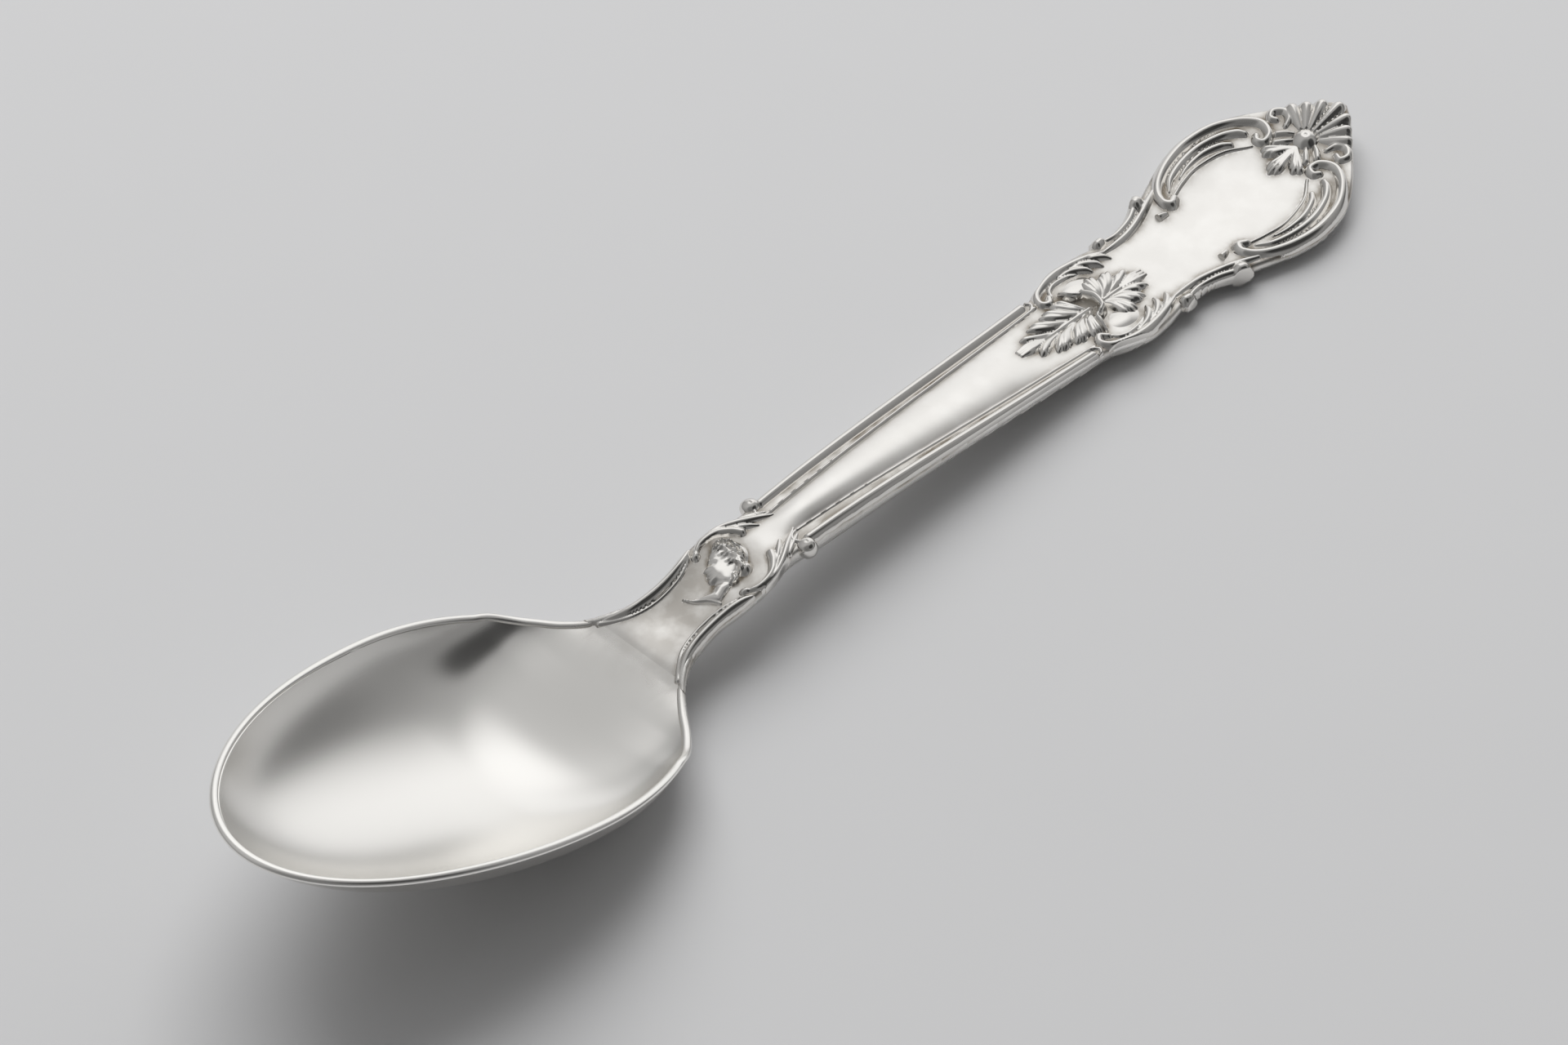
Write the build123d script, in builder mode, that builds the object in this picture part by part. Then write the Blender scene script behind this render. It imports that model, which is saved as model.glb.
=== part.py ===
"""Ornate silver teaspoon: a bowl, a handle lapped and soldered to it, and cast ornaments on the handle.

Millimetres, +Z up, +X from the bowl to the crest of the handle. The origin lies on the table under the
middle of the spoon's length, and the spoon is modelled as it rests: on its bowl and under its crest.
Places on the handle are given as (distance from the neck, distance from the middle line).
"""
from build123d import *
import math
import os

# Bowl, measured along its rim, across it and square to it
bowl_nose = 28.0
bowl_heel = 21.5
bowl_width = 29.8
bowl_depth = 9.2
bowl_fullness = 0.75
bowl_wall = 1.1
bowl_tilt = 17.5
heel_reach = 1.6
heel_drop = 1.5

# Handle, seen from the side: lengths from the neck, rises over it, heights over the table, thicknesses
handle_length = 97.0
neck_middle_at = 9.5
knop_at = 17.5
stem_middle_at = 36.5
waist_at = 55.6
crest_at = 76.3
neck_rise = 1.7
knop_rise = 2.15
stem_middle_height = 5.1
waist_height = 3.0
tip_height = 3.6
neck_thickness = 2.2
knop_thickness = 2.7
stem_thickness = 2.3
crest_thickness = 1.9
tip_thickness = 1.5

# Lap joint: the handle's foot lies on a tongue of the bowl
foot_length = 3.2
lap_length = 7.0
lap_thickness = 1.0
drop_length = 7.0
drop_half_width = 4.6
drop_dip = 0.5

# Handle, seen from above: half widths, and where along the handle they lie
foot_half_width = 7.0
neck_flare = (0.6, 4.9)
neck_waist = (5.6, 3.75)
leaf_bulge = (11.2, 4.1)
leaf_end = (15.8, 3.3)
stem_start = (18.4, 3.55)
stem_end = (55.4, 4.75)
waist_bulge = (61.8, 6.15)
waist_end = (67.2, 5.5)
shoulder_hollow = (70.4, 5.15)
shoulder_end = (74.6, 6.5)
crest_bulge = (83.0, 9.1)
crest_end = (91.4, 5.6)
tip_half_width = 0.5

# Ornaments: radii of the half-round strokes, beads and leaf lobes, and how far they lie inside the edge
border = 0.7
reed_radius = 0.55
reed_rounding = 0.8
bead_line_radius = 0.3
scroll_radius = 0.6
knop_radius = 1.0
knop_inset = 0.2
knop_sink = 0.45
volute_radius = 0.85
bud_radius = 0.5
bud_extra = 0.12
lobe_radius = 0.55
lobe_base = 0.45
lobe_peak = 0.4
bead_inset = 1.6
leaf_step = 1.3
leaf_depth = 1.6
waist_turn = 4.1
volute_depth = 2.9
crest_step = 1.8
crest_bulb_depth = 2.1
panel_depth = 3.3
acanthus_at = 60.6
tie_half_width = 3.1
lower_leaf_length = 10.6
lower_leaf_step = 2.1
lower_leaf_spread = (3.0, 2.4, 1.6)
lobe_run = 3.0
upper_leaf_length = 7.1
upper_leaf_tips = ((5.2, 1.9), (3.0, 3.0))
rosette_at = 91.4
rosette_radius = 0.8
rosette_petals = 8
petal_radius = 0.35
palmette_petals = 9
palmette_spread = 84.0
tuft_tips = ((4.8, 0.0), (3.4, 1.8), (3.4, -1.8))

# Small head on the neck: place, lean of its upright, and domes as (rise, step forward, radius)
head_at = (11.4, 0.2)
head_lean = 43.0
head_relief = 0.7
head_domes = ((0.2, -0.2, 1.7), (-0.5, 0.5, 1.3), (-1.9, -0.3, 1.0), (-3.2, -0.2, 1.3))

# Sections of the bowl
nose_steps = 6
heel_steps = 6
first_turn = 4.0
last_turn = 78.0
heel_sweep = 1.5
wall_up = 3.0
floor_lip = 0.05

bowl_length = bowl_nose + bowl_heel
tilt = math.radians(bowl_tilt)
full_rise = 1 - math.sqrt(1 - bowl_fullness**2)
run_out = heel_drop + floor_lip
bowl_axis = Vector(math.cos(tilt), 0, -math.sin(tilt))
neck_x = (bowl_length * math.cos(tilt) - heel_reach - handle_length) / 2


def bowl_station(step, inset=0.0):
    """Distance from the tip, half width and share of the full depth at one cross-section."""
    half = bowl_width / 2 - inset
    if step <= nose_steps:
        turn = math.radians(first_turn + (90 - first_turn) * step / nose_steps)
        along = inset + (bowl_nose - inset) * (1 - math.cos(turn))
        wall_rise = 1 - math.sqrt(1 - (bowl_fullness * math.cos(turn)) ** 2)
        return along, half * math.sin(turn), 1 - wall_rise / full_rise
    turn = math.radians(last_turn * (step - nose_steps) / heel_steps)
    along = bowl_nose + (bowl_heel - inset / 2) * math.sin(turn)
    return along, half * math.cos(turn), math.cos(math.pi / 2 * math.sin(turn)) ** heel_sweep


def bowl_drop():
    """How far the underside of the tilted bowl lies below the top of the neck."""
    drops = []
    for step in range(nose_steps + heel_steps + 1):
        along, half_width, share = bowl_station(step)
        rise = (bowl_length - along) * math.sin(tilt)
        drops.append(heel_drop + share * bowl_depth * math.cos(tilt) - rise)
    return max(drops)


neck_height = bowl_drop()
bowl_tip = Vector(neck_x + heel_reach, 0, neck_height - heel_drop) - bowl_axis * bowl_length
rim_plane = Plane(origin=bowl_tip, x_dir=bowl_axis, z_dir=(math.sin(tilt), 0, math.cos(tilt)))


def bowl_form(inset, end_drop):
    """The bowl's form, inset by a wall, lofted through arcs of ellipses and walled up past the rim."""
    side_turn = math.degrees(math.acos(bowl_fullness))
    with BuildPart() as form:
        for step in range(nose_steps + heel_steps + 1):
            along, half_width, share = bowl_station(step, inset)
            heelward = 1 - share if step > nose_steps else 0.0
            brink = run_out * heelward
            drop = share * (bowl_depth - inset) + end_drop * heelward
            middle = brink - drop + drop / full_rise
            section = Plane(origin=bowl_tip + bowl_axis * along, x_dir=(0, 1, 0), z_dir=bowl_axis)
            with BuildSketch(section):
                with BuildLine():
                    EllipticalCenterArc(
                        (0, middle),
                        half_width / bowl_fullness,
                        drop / full_rise,
                        180 + side_turn,
                        arc_size=180 - 2 * side_turn,
                    )
                    Polyline(
                        (half_width, brink),
                        (half_width, run_out + wall_up),
                        (-half_width, run_out + wall_up),
                        (-half_width, brink),
                    )
                make_face()
        loft()
    return form.part


# Top and underside of the handle in side view
side_stations = [
    (-foot_length, neck_height, neck_thickness),
    (0, neck_height, neck_thickness),
    (neck_middle_at, neck_height + neck_rise, neck_thickness),
    (knop_at, neck_height + knop_rise, knop_thickness),
    (stem_middle_at, stem_middle_height, stem_thickness),
    (waist_at, waist_height, stem_thickness),
    (crest_at, crest_thickness, crest_thickness),
    (handle_length, tip_height, tip_thickness),
]
top_edge = Edge.make_spline([Vector(neck_x + at, 0, top) for at, top, thick in side_stations])
under_edge = Edge.make_spline([Vector(neck_x + at, 0, top - thick) for at, top, thick in side_stations])


def height_on(edge, along):
    """Height of a side-view line at a distance from the neck."""
    low, high = 0.0, 1.0
    for halving in range(40):
        middle = (low + high) / 2
        if edge.position_at(middle).X < neck_x + along:
            low = middle
        else:
            high = middle
    return edge.position_at(low).Z


def on_top(place, side=1, lift=0.0):
    """A place on the handle's top, on the left (side 1) or the right (side -1)."""
    along, across = place
    return Vector(neck_x + along, side * across, height_on(top_edge, along) + lift)


def in_plan(*places):
    """Places on the handle as points of the plan."""
    return [(neck_x + along, across) for along, across in places]


with BuildSketch(Plane.XY) as handle_plan:
    with BuildLine():
        foot_corner = (-foot_length, foot_half_width)
        ThreePointArc(*in_plan(foot_corner, neck_flare, neck_waist))
        ThreePointArc(*in_plan(neck_waist, leaf_bulge, leaf_end))
        Polyline(*in_plan(leaf_end, stem_start, stem_end))
        ThreePointArc(*in_plan(stem_end, waist_bulge, waist_end))
        ThreePointArc(*in_plan(waist_end, shoulder_hollow, shoulder_end))
        ThreePointArc(*in_plan(shoulder_end, crest_bulge, crest_end))
        tip_corner = (handle_length, tip_half_width)
        Polyline(*in_plan(crest_end, tip_corner, (handle_length, 0)))
        Polyline(*in_plan((handle_length, 0), (-foot_length, 0), foot_corner))
    make_face()
    mirror(about=Plane.XZ)

# Lap surface, part of the way down from the top of the foot
lap_points = [
    (neck_x + at, height_on(top_edge, at) - lap_thickness) for at in (-foot_length, 0, lap_length)
]
tip_top = (neck_x + handle_length, tip_height)
lap_end_under = (neck_x + lap_length, height_on(under_edge, lap_length))

cavity = bowl_form(bowl_wall, floor_lip)

with BuildPart() as handle:
    with BuildSketch(Plane.XZ):
        with BuildLine():
            Spline(*[(neck_x + at, top) for at, top, thick in side_stations])
            Line(tip_top, (neck_x + handle_length, tip_height - tip_thickness))
            Spline(
                lap_end_under,
                *[(neck_x + at, top - thick) for at, top, thick in side_stations if at > lap_length],
            )
            Line(lap_end_under, lap_points[-1])
            Polyline(*lap_points)
            Line(lap_points[0], (neck_x - foot_length, neck_height))
        make_face()
    extrude(amount=crest_bulge[1] + wall_up, both=True)
    extrude(handle_plan.sketch, amount=neck_height + knop_rise + wall_up, mode=Mode.INTERSECT)
    add(cavity, mode=Mode.SUBTRACT)

# Tongue of the bowl under the handle's foot, ending in a rounded drop on the back of the bowl
with BuildSketch(Plane.XY) as tongue_plan:
    add(handle_plan.sketch)
    with Locations((neck_x + lap_length / 2, 0)):
        Rectangle(lap_length, bowl_width, mode=Mode.INTERSECT)
    with BuildLine():
        ThreePointArc((neck_x, drop_half_width), (neck_x - drop_length, 0), (neck_x, -drop_half_width))
        Line((neck_x, -drop_half_width), (neck_x, drop_half_width))
    make_face()

tongue_under = neck_height - neck_thickness
with BuildPart() as tongue:
    with BuildSketch(Plane.XZ):
        with BuildLine():
            Polyline(*lap_points, lap_end_under, (neck_x, tongue_under))
            Polyline(
                (neck_x, tongue_under),
                (neck_x - drop_length, tongue_under - drop_dip),
                (neck_x - drop_length, lap_points[0][1]),
                lap_points[0],
            )
        make_face()
    extrude(amount=bowl_width, both=True)
    extrude(tongue_plan.sketch, amount=neck_height + knop_rise, mode=Mode.INTERSECT)

with BuildPart() as bowl:
    add(bowl_form(0.0, run_out))
    split(bisect_by=rim_plane, keep=Keep.BOTTOM)
    add(tongue.part)
    add(cavity, mode=Mode.SUBTRACT)
    add(handle.part, mode=Mode.SUBTRACT)

# The room over the handle's top, where the ornaments stand
with BuildPart() as relief_space:
    with BuildSketch(Plane.XZ):
        with BuildLine():
            Spline(*[(neck_x + at, top) for at, top, thick in side_stations])
            Polyline(
                tip_top,
                (neck_x + handle_length, neck_height + knop_rise + wall_up),
                (neck_x - foot_length, neck_height + knop_rise + wall_up),
                (neck_x - foot_length, neck_height),
            )
        make_face()
    extrude(amount=crest_bulge[1] + wall_up, both=True)

# Ornaments, each seated on the handle's top and trimmed by its neighbours
ornaments = {}


def boxes_meet(first, second):
    """True where the boxes round two solids overlap."""
    a, b = first.bounding_box(), second.bounding_box()
    return all(
        low_a < high_b and low_b < high_a
        for low_a, high_a, low_b, high_b in zip(a.min, a.max, b.min, b.max)
    )


def stroke(places, radius):
    """A round stroke along an arc through three places on the handle's top."""
    with BuildLine() as path:
        ThreePointArc(*[on_top(place) for place in places])
    with BuildSketch(Plane(path.line @ 0, x_dir=(0, 0, -1), z_dir=path.line % 0)) as section:
        Circle(radius)
    sweep(section.sketch, path=path.line)


def strip(first, last, radius):
    """A reed with rounded edges, straight in plan, that follows the handle's top between two places."""
    low, high = [Vector(*place) for place in in_plan(first, last)]
    with BuildSketch(Plane(origin=(low + high) / 2, x_dir=high - low)) as plan:
        Rectangle((high - low).length, 2 * radius)
    with BuildPart() as reed:
        with BuildSketch(Plane.XZ):
            with BuildLine():
                over = Spline(*[(neck_x + at, top + radius) for at, top, thick in side_stations])
                under = Spline(*[(neck_x + at, top - radius) for at, top, thick in side_stations])
                Line(over @ 0, under @ 0)
                Line(over @ 1, under @ 1)
            make_face()
        extrude(amount=crest_bulge[1], both=True)
        extrude(plan.sketch, amount=neck_height + knop_rise + wall_up, mode=Mode.INTERSECT)
        long_edges = reed.edges().sort_by(SortBy.LENGTH)[-4:]
        fillet(long_edges.sort_by(Axis.Z)[-2:], radius * reed_rounding)
    return reed.part


def bead(place, radius):
    """A ball half sunk in the handle's top."""
    with Locations(on_top(place)):
        Sphere(radius)


def boss(place, radius, relief):
    """A low dome on the handle's top, of a radius and a height."""
    ball = (radius**2 + relief**2) / (2 * relief)
    with Locations(on_top(place, 1, relief - ball)):
        Sphere(ball)


def lobe(base, tip, radius, side=1):
    """A leaf lobe: blunt at its base, fullest before the middle and pointed at its tip."""
    start, end = on_top(base, side), on_top(tip, side)
    length = (end - start).length
    plane = Plane(origin=start, x_dir=end - start, z_dir=(end - start).cross(Vector(0, 0, 1)))
    with BuildSketch(plane) as section:
        with BuildLine():
            ThreePointArc((0, radius * lobe_base), (length * lobe_peak, radius), (length, 0))
            Polyline((length, 0), (0, 0), (0, radius * lobe_base))
        make_face()
    revolve(section.sketch, axis=Axis(start, end - start))


def seat(label, solid):
    """Trims an ornament to what stands over the handle's top, clear of the ornaments made before it."""
    with BuildPart() as seated:
        add(solid)
        add(relief_space.part, mode=Mode.INTERSECT)
        for other in ornaments.values():
            if boxes_meet(seated.part, other):
                add(other, mode=Mode.SUBTRACT)
    ornaments[label] = seated.part


def mirrored(solid):
    """The right-hand twin of a left-hand ornament."""
    with BuildPart() as twin:
        mirror(solid, about=Plane.XZ)
    return twin.part


def inside(place, margin, along=0.0):
    """A place moved towards the middle line, and along the handle."""
    return (place[0] + along, place[1] - margin)


# Ornaments in pairs: the left one is drawn, the right one is its mirror image
with BuildPart() as knop:
    with Locations(on_top((knop_at, stem_start[1] - knop_inset), 1, -knop_sink)):
        Sphere(knop_radius)
    add(handle.part, mode=Mode.SUBTRACT)
ornaments["knop_left"] = knop.part

with BuildPart() as neck_reed:
    reed_end = inside(leaf_bulge, border, -leaf_step)
    stroke([inside(neck_flare, border), inside(neck_waist, border), reed_end], reed_radius)
    bead(inside(neck_flare, border), bud_radius + bud_extra)
seat("neck_reed_left", neck_reed.part)

with BuildPart() as neck_leaf:
    leaf_turn = inside(leaf_end, leaf_depth, -leaf_step / 2)
    leaf_foot = inside(leaf_bulge, leaf_step)
    stroke([leaf_foot, inside(leaf_bulge, border, leaf_step), leaf_turn], reed_radius)
    bead(leaf_foot, bud_radius + bud_extra)
    lobe(inside(leaf_turn, 0, -border), (stem_start[0], leaf_turn[1] - border), lobe_radius)
seat("neck_leaf_left", neck_leaf.part)

with BuildPart() as stem_reed:
    reed_low = inside(stem_start, border, border)
    reed_high = inside(stem_end, border, -border)
    add(strip(reed_low, reed_high, reed_radius))
    bead(reed_high, reed_radius + bud_extra)
seat("stem_reed_left", stem_reed.part)

bead_low = inside(stem_start, bead_inset, border)
bead_high = inside(stem_end, bead_inset, -border)
seat("stem_bead_left", strip(bead_low, bead_high, bead_line_radius))

with BuildPart() as waist_scroll:
    volute = inside(waist_bulge, volute_depth, -waist_turn)
    scroll_end = inside(waist_end, 2 * border, -border)
    stroke([inside(volute, -volute_radius), inside(waist_bulge, border), scroll_end], scroll_radius)
    bead(volute, volute_radius)
    bead(scroll_end, scroll_radius + bud_extra)
seat("waist_scroll_left", waist_scroll.part)

with BuildPart() as shoulder_scroll:
    shoulder_low = inside(waist_end, 2 * border, border)
    shoulder_high = inside(shoulder_end, border)
    stroke([shoulder_low, inside(shoulder_hollow, border), shoulder_high], reed_radius)
    bead(shoulder_high, reed_radius + bud_extra)
seat("shoulder_scroll_left", shoulder_scroll.part)

with BuildPart() as crest_scroll:
    bulb = inside(shoulder_end, crest_bulb_depth, crest_step)
    scroll_top = inside(crest_end, border, -crest_step)
    crest_volute = inside(crest_end, crest_bulb_depth, -crest_step)
    stroke([inside(bulb, -volute_radius), inside(crest_bulge, border), scroll_top], scroll_radius)
    bead(bulb, volute_radius)
    stroke([scroll_top, inside(scroll_top, volute_radius, volute_radius), crest_volute], scroll_radius)
    bead(crest_volute, volute_radius)
seat("crest_scroll_left", crest_scroll.part)

with BuildPart() as panel_bead:
    panel_low = inside(bulb, 0, crest_step)
    panel_high = inside(crest_volute, 0, -crest_step)
    stroke([panel_low, inside(crest_bulge, panel_depth), panel_high], bead_line_radius)
seat("panel_bead_left", panel_bead.part)

for label in list(ornaments):
    ornaments[label.replace("left", "right")] = mirrored(ornaments[label])

# Ornaments on the middle line
with BuildPart() as acanthus_tie:
    tie_end = (acanthus_at - border, tie_half_width)
    stroke([tie_end, (acanthus_at, 0), (tie_end[0], -tie_half_width)], bud_radius)
seat("acanthus_tie", acanthus_tie.part)

with BuildPart() as acanthus_lower:
    lobe((acanthus_at, 0), (acanthus_at - lower_leaf_length, 0), lobe_radius + bud_extra)
    for step, spread in enumerate(lower_leaf_spread):
        base_at = acanthus_at - lower_leaf_step * (step + 0.5)
        for side in (1, -1):
            lobe((base_at, 0), (base_at - lobe_run, spread), lobe_radius, side)
seat("acanthus_lower", acanthus_lower.part)

with BuildPart() as acanthus_upper:
    lobe((acanthus_at, 0), (acanthus_at + upper_leaf_length, 0), lobe_radius + bud_extra)
    for reach, spread in upper_leaf_tips:
        for side in (1, -1):
            lobe((acanthus_at + border, 0), (acanthus_at + reach, spread), lobe_radius, side)
seat("acanthus_upper", acanthus_upper.part)

with BuildPart() as rosette:
    bead((rosette_at, 0), rosette_radius)
    for petal in range(rosette_petals):
        turn = 2 * math.pi * petal / rosette_petals
        reach = rosette_radius + bead_line_radius
        bead((rosette_at + reach * math.cos(turn), reach * math.sin(turn)), petal_radius)
seat("rosette", rosette.part)

with BuildPart() as palmette:
    run = handle_length - crest_end[0]
    fall = crest_end[1] - tip_half_width
    for petal in range(palmette_petals):
        turn = math.radians(-palmette_spread + 2 * palmette_spread * petal / (palmette_petals - 1))
        edge_reach = ((crest_end[0] - rosette_at) * fall + crest_end[1] * run) / (
            fall * math.cos(turn) + run * abs(math.sin(turn))
        )
        reach = min(edge_reach, handle_length - rosette_at) - bead_line_radius
        base = (rosette_at + rosette_radius * math.cos(turn), rosette_radius * math.sin(turn))
        tip = (rosette_at + reach * math.cos(turn), reach * math.sin(turn))
        lobe(base, tip, lobe_radius)
seat("palmette", palmette.part)

with BuildPart() as leaf_tuft:
    for reach, spread in tuft_tips:
        lobe((rosette_at - rosette_radius, 0), (rosette_at - reach, spread), lobe_radius)
seat("leaf_tuft", leaf_tuft.part)

# A small head in profile on the neck, upright across the handle: built from low domes, with a plain face
with BuildPart() as cameo_head:
    up = Vector(math.cos(math.radians(head_lean)), math.sin(math.radians(head_lean)))
    front = Vector(-up.Y, up.X)
    for rise, forward, radius in head_domes:
        place = Vector(*head_at) + up * rise + front * forward
        boss((place.X, place.Y), radius, head_relief)
seat("cameo_head", cameo_head.part)

os.makedirs("parts", exist_ok=True)
for label, solid in {"bowl": bowl.part, "handle": handle.part, **ornaments}.items():
    solid.label = label
    export_step(solid, "parts/" + label + ".step")
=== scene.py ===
"""Ornate silver teaspoon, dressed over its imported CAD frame.

Shapes are worked out in spoon millimetres: x runs along the handle from the neck (the bowl lies at
negative x), y is the distance from the middle line, and z is the height over the table. The frame says
where the neck is and how many metres one spoon millimetre takes.
"""

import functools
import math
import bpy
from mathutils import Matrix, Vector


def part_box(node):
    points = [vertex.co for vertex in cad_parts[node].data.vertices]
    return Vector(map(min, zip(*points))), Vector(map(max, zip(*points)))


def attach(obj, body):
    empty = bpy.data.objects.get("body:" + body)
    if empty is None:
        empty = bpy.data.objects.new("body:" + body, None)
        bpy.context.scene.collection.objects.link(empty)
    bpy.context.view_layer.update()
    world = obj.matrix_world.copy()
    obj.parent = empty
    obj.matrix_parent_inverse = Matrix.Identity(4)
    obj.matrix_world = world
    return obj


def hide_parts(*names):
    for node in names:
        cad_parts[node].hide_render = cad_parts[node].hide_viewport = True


bl_info = {
    "name": "Ornate Teaspoon",
    "version": (1, 0, 0),
    "blender": (4, 5, 0),
    "location": "View3D > Sidebar > Teaspoon",
    "description": "Builds the bowl, handle, ornaments and stage of an ornate silver teaspoon",
    "category": "Object",
}

import bmesh
import bpy
import numpy as np
from bpy.props import FloatProperty, FloatVectorProperty, PointerProperty
from mathutils import Vector
from mathutils.bvhtree import BVHTree

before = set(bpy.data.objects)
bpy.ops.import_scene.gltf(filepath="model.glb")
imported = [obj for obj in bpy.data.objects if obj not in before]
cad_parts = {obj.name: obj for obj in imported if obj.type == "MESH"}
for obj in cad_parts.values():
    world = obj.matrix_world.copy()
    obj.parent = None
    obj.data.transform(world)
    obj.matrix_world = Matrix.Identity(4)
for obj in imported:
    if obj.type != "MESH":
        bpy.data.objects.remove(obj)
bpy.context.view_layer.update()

# The handle as it was drawn, in millimetres, and the frame's measure of it
HANDLE_LENGTH = 97.0
FOOT_LENGTH = 3.2
handle_low, handle_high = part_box("handle")
METRES = (handle_high.x - handle_low.x) / (HANDLE_LENGTH + FOOT_LENGTH)
NECK_X = handle_low.x + FOOT_LENGTH * METRES
bowl_low, bowl_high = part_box("bowl")

# Bowl: tip, widest place, heel, and the height of its rim against the top of the neck
TIP_X = (bowl_low.x - NECK_X) / METRES
HEEL_X = 1.6
NOSE_SHARE = 0.566
CENTRE_X = TIP_X + NOSE_SHARE * (HEEL_X - TIP_X)
BOWL_HALF = (bowl_high.y - bowl_low.y) / 2 / METRES
RIM_DIP = ((1.6, -0.1), (-3.0, -0.7), (-7.7, 0.8), (-13.3, 3.0), (-23.0, 6.4), (-33.4, 9.8))

# Where the bowl's mesh gives way to the handle's, how far they lap, and how deep the lap is sunk
JOIN_X = 0.6
JOIN_LAP = 1.4
LAP_SINK = 0.03

# The rim's rise against its width, and how much of the wall turns up as a steep lip, more so at the heel
RIM_RISE = 0.38
LIP = 0.2
HEEL_LIP = 0.3
LIP_POWER = 9

# The rounded drop on the back of the bowl, under the neck
TONGUE_LENGTH = 8.0
TONGUE_HALF = 4.8
TONGUE_RISE = 0.9

# Half widths along the edge, from the shoulders of the bowl to the tip of the handle
OUTLINE = (
    (-9.0, 13.3), (-7.0, 12.35), (-5.4, 11.28), (-3.5, 9.4), (-1.8, 7.3), (0.0, 5.45), (1.4, 4.6), (3.0, 4.0),
    (6.0, 3.7), (9.2, 4.05), (11.2, 4.1), (13.0, 3.9), (14.6, 3.45), (16.2, 3.35), (18.4, 3.6), (36.0, 4.2),
    (55.0, 4.75), (57.7, 5.05), (60.0, 5.75), (62.0, 6.15), (64.5, 5.95), (67.0, 5.5), (70.4, 5.2),
    (74.0, 6.5), (77.0, 7.65), (80.0, 8.65), (83.0, 9.1), (86.0, 8.8), (88.0, 8.1), (90.0, 6.9),
    (92.0, 5.3), (94.5, 3.1), (96.3, 1.4), (97.0, 0.5),
)

# Where the bowl's ellipse gives way to that edge
SHOULDER_BLEND = (-8.0, -5.5)

# The stem's rounded field as (place, half width) at both ends, and the half widths of the hollows
STEM_FIELD = ((18.3, 1.4), (55.0, 3.4))
TROUGH_HALF = 3.3
DISH_HALF = 5.2

# Faces that meet at more than this angle keep a sharp edge
SHARP_ANGLE = math.radians(55)

# Relief that runs below the surface it stands on, so that no gap shows round an ornament
SINK = 0.14
SKIRT = 0.5

# How far ornaments reach out past the handle's edge, and how far inside it the others end
OVERHANG = {"shoulder_scroll": 0.6, "neck_leaf": 0.1}
EDGE_INSET = 0.02

# The ornaments' grid: half its width, and the reach, start and darkest depth of the shading round a ridge
GRID_HALF = 10.0
CAVITY_REACH = 0.45
CAVITY_START = 0.02
CAVITY_DEEP = 0.2

# Relief lower than this counts as plain, and the strength of the painted shade, with some dullness, on plain
# silver round the neck
PLAIN = 0.05
NECK_SHADE = 0.55


def clamp01(value):
    """Values held between 0 and 1."""
    return np.clip(value, 0.0, 1.0)


def ease(low, high, value):
    """A smooth step from 0 at low to 1 at high."""
    share = clamp01((np.asarray(value, float) - low) / (high - low))
    return share * share * (3 - 2 * share)


def window(value, start, full, fade, end):
    """1 between full and fade, easing to 0 at start and end."""
    return ease(start, full, value) * (1 - ease(fade, end, value))


def smooth_line(points):
    """A natural cubic spline through (place, value) points, as a function."""
    places, values = np.array(sorted(points), float).T
    step = np.diff(places)
    size = len(places)
    system = np.eye(size)
    right = np.zeros(size)
    for i in range(1, size - 1):
        system[i, i - 1:i + 2] = step[i - 1], 2 * (step[i - 1] + step[i]), step[i]
        right[i] = 6 * ((values[i + 1] - values[i]) / step[i] - (values[i] - values[i - 1]) / step[i - 1])
    bend = np.linalg.solve(system, right)

    def line(place):
        place = np.clip(place, places[0], places[-1])
        i = np.clip(np.searchsorted(places, place) - 1, 0, size - 2)
        after, before, gap = place - places[i], places[i + 1] - place, step[i]
        curved = (bend[i] * before**3 + bend[i + 1] * after**3) / (6 * gap)
        first = (values[i] / gap - bend[i] * gap / 6) * before
        return curved + first + (values[i + 1] / gap - bend[i + 1] * gap / 6) * after

    return line


def even_line(points):
    """A curve through (place, value) points that never overshoots them, as a function."""
    places, values = np.array(sorted(points), float).T
    step = np.diff(places)
    slope = np.diff(values) / step
    turn = np.zeros(len(places))
    same = slope[:-1] * slope[1:] > 0
    turn[1:-1][same] = (2 * slope[:-1] * slope[1:])[same] / (slope[:-1] + slope[1:])[same]
    turn[0], turn[-1] = slope[0], slope[-1]

    def line(place):
        place = np.clip(place, places[0], places[-1])
        i = np.clip(np.searchsorted(places, place) - 1, 0, len(places) - 2)
        t = (place - places[i]) / step[i]
        rise = values[i] * (1 + 2 * t) * (1 - t) ** 2 + values[i + 1] * t * t * (3 - 2 * t)
        return rise + step[i] * (turn[i] * t * (1 - t) ** 2 - turn[i + 1] * t * t * (1 - t))

    return line


def cad_heights(node, places, from_above):
    """Heights in millimetres of a CAD node's top or underside along the middle line."""
    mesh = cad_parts[node].data
    tree = BVHTree.FromPolygons([v.co for v in mesh.vertices], [p.vertices for p in mesh.polygons])
    start = 1.0 if from_above else -1.0
    heights = []
    for place in places:
        origin = Vector((NECK_X + place * METRES, 0.0, start))
        hit = tree.ray_cast(origin, Vector((0.0, 0.0, -start)))[0]
        if hit is None:
            raise RuntimeError(f"the CAD node {node} has no surface at {place} mm")
        heights.append((place, hit.z / METRES))
    return heights


SIDE_STATIONS = (8.0, 12.0, 17.5, 22.0, 28.0, 36.5, 46.0, 55.6, 62.0, 69.0, 76.3, 83.0, 90.0, 96.9)
top_points = cad_heights("handle", (2.5,) + SIDE_STATIONS, True)
NECK_TOP = top_points[0][1]
top_at = smooth_line([(-3.2, NECK_TOP), (0.0, NECK_TOP)] + top_points[1:])
under_at = smooth_line(cad_heights("bowl", (2.5,), False) + cad_heights("handle", SIDE_STATIONS, False))
outline_at = even_line(OUTLINE)
RIM_TIP = bowl_high.z / METRES - NECK_TOP
rim_at = smooth_line(RIM_DIP + ((TIP_X, RIM_TIP),))


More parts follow.
